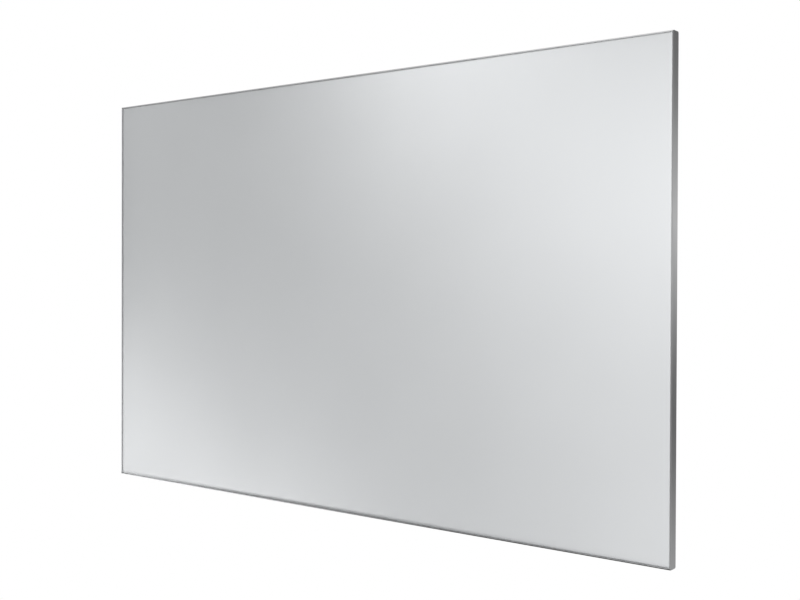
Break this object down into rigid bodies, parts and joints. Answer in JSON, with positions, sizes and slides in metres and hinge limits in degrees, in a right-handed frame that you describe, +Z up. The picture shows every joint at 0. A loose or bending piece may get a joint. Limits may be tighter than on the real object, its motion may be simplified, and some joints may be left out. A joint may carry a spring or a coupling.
{
  "type": "fixed-frame projector screen",
  "caption": "Wall-hung projection screen: a matt white cloth held in the front groove of a slim mitred aluminium frame, with a centre brace and wall brackets behind.",
  "frame": {"origin": "centre of the bounding box: the middle of the picture, half way through the frame's depth", "axes": "+X along the width, to the right as seen from the front; +Z up; the picture faces -Y and the wall is at +Y"},
  "size_m": [2.007, 0.032, 1.257],
  "materials": {
    "satin_aluminium": "satin anodised",
    "mill_aluminium": "mill finish",
    "zinc_steel": "bright zinc plated",
    "black_steel": "black oxide",
    "projection_cloth": "matt white projection film, black behind",
    "clear_silicone": "matt"
  },
  "bodies": {
    "root": {"bottom_rail_left": "satin_aluminium", "bottom_rail_right": "satin_aluminium", "left_rail": "satin_aluminium", "right_rail": "satin_aluminium", "top_rail_left": "satin_aluminium", "top_rail_right": "satin_aluminium", "projection_cloth": "projection_cloth", "edge_strip_top": "clear_silicone", "edge_strip_bottom": "clear_silicone", "edge_strip_left": "clear_silicone", "edge_strip_right": "clear_silicone", "corner_key_top_left": "mill_aluminium", "corner_plate_top_left": "zinc_steel", "set_screw_top_left_1": "black_steel", "set_screw_top_left_2": "black_steel", "set_screw_top_left_3": "black_steel", "set_screw_top_left_4": "black_steel", "corner_key_top_right": "mill_aluminium", "corner_plate_top_right": "zinc_steel", "set_screw_top_right_1": "black_steel", "set_screw_top_right_2": "black_steel", "set_screw_top_right_3": "black_steel", "set_screw_top_right_4": "black_steel", "corner_key_bottom_left": "mill_aluminium", "corner_plate_bottom_left": "zinc_steel", "set_screw_bottom_left_1": "black_steel", "set_screw_bottom_left_2": "black_steel", "set_screw_bottom_left_3": "black_steel", "set_screw_bottom_left_4": "black_steel", "corner_key_bottom_right": "mill_aluminium", "corner_plate_bottom_right": "zinc_steel", "set_screw_bottom_right_1": "black_steel", "set_screw_bottom_right_2": "black_steel", "set_screw_bottom_right_3": "black_steel", "set_screw_bottom_right_4": "black_steel", "joiner_bar_top": "mill_aluminium", "joiner_plate_top": "zinc_steel", "brace_bracket_top": "zinc_steel", "brace_screw_top_1": "zinc_steel", "brace_screw_top_2": "zinc_steel", "brace_screw_top_3": "zinc_steel", "brace_screw_top_4": "zinc_steel", "set_screw_top_joint_left": "black_steel", "wall_bracket_top_left": "zinc_steel", "set_screw_top_joint_right": "black_steel", "wall_bracket_top_right": "zinc_steel", "joiner_bar_bottom": "mill_aluminium", "joiner_plate_bottom": "zinc_steel", "brace_bracket_bottom": "zinc_steel", "brace_screw_bottom_1": "zinc_steel", "brace_screw_bottom_2": "zinc_steel", "brace_screw_bottom_3": "zinc_steel", "brace_screw_bottom_4": "zinc_steel", "set_screw_bottom_joint_left": "black_steel", "wall_bracket_bottom_left": "zinc_steel", "set_screw_bottom_joint_right": "black_steel", "wall_bracket_bottom_right": "zinc_steel", "centre_brace": "mill_aluminium"}
  },
  "joints": []
}
